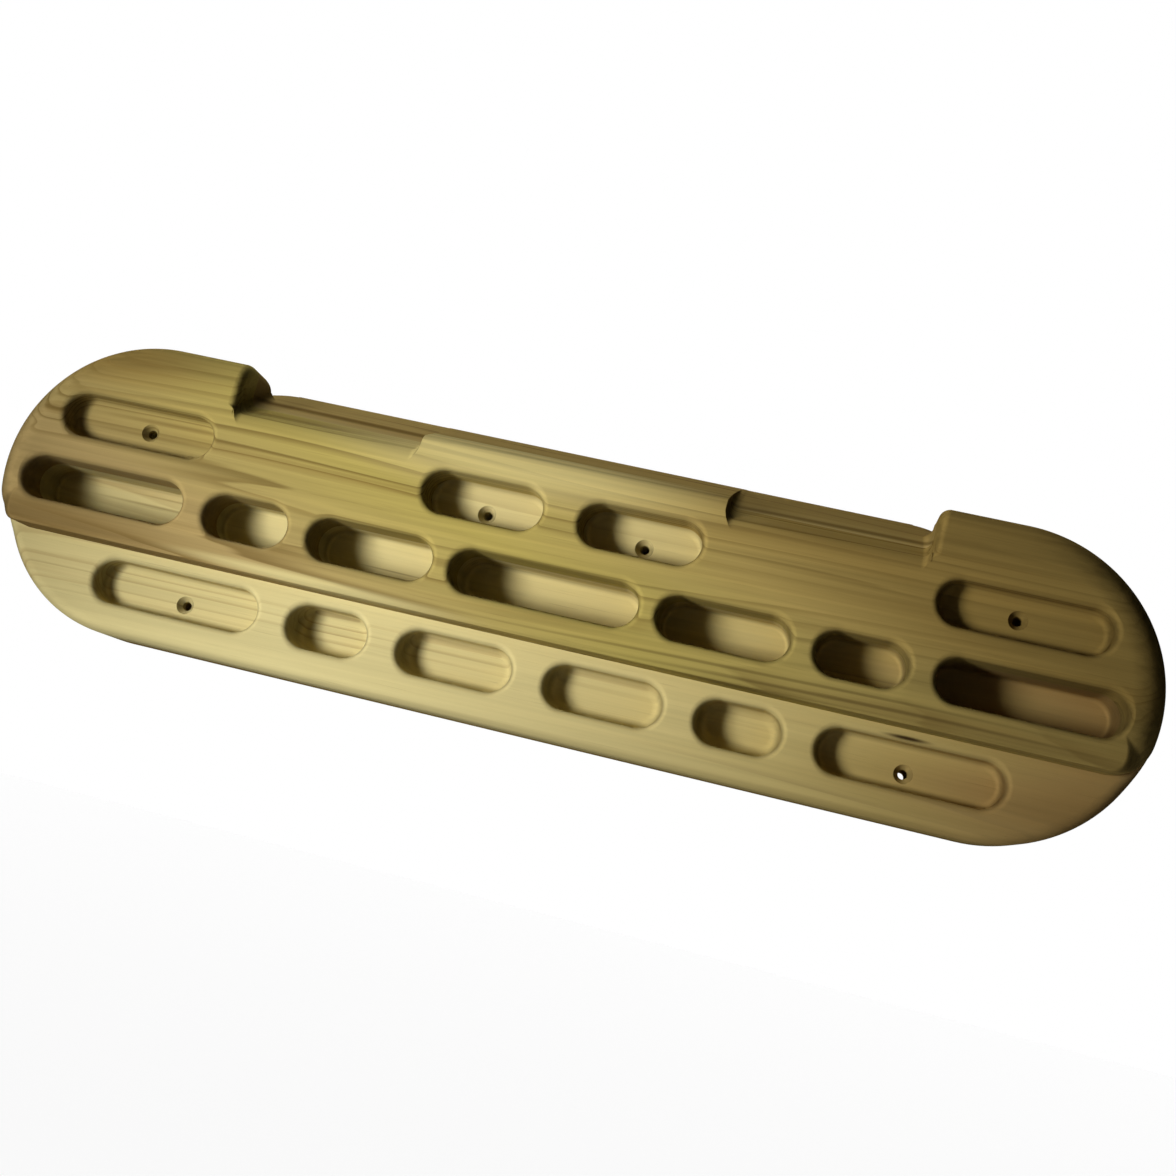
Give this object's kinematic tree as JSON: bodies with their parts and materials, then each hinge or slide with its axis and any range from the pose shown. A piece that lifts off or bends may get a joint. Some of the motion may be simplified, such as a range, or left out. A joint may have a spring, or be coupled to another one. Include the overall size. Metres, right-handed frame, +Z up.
{
  "type": "climbing hangboard",
  "caption": "Long wooden fingerboard with round ends, a stepped front, sloping holds along the top, jug lobes at its ends and rows of rounded finger slots.",
  "frame": {"origin": "centre of the flat back face that lies against the wall", "axes": "+X along the board, to the right as a climber faces it, +Y into the wall, +Z up"},
  "size_m": [0.58, 0.058, 0.15],
  "materials": {
    "back_lamination": "sanded, unvarnished",
    "middle_lamination": "sanded, unvarnished",
    "front_lamination": "sanded, unvarnished"
  },
  "bodies": {
    "root": {"back_lamination": "back_lamination", "middle_lamination": "middle_lamination", "front_lamination": "front_lamination"}
  },
  "joints": []
}
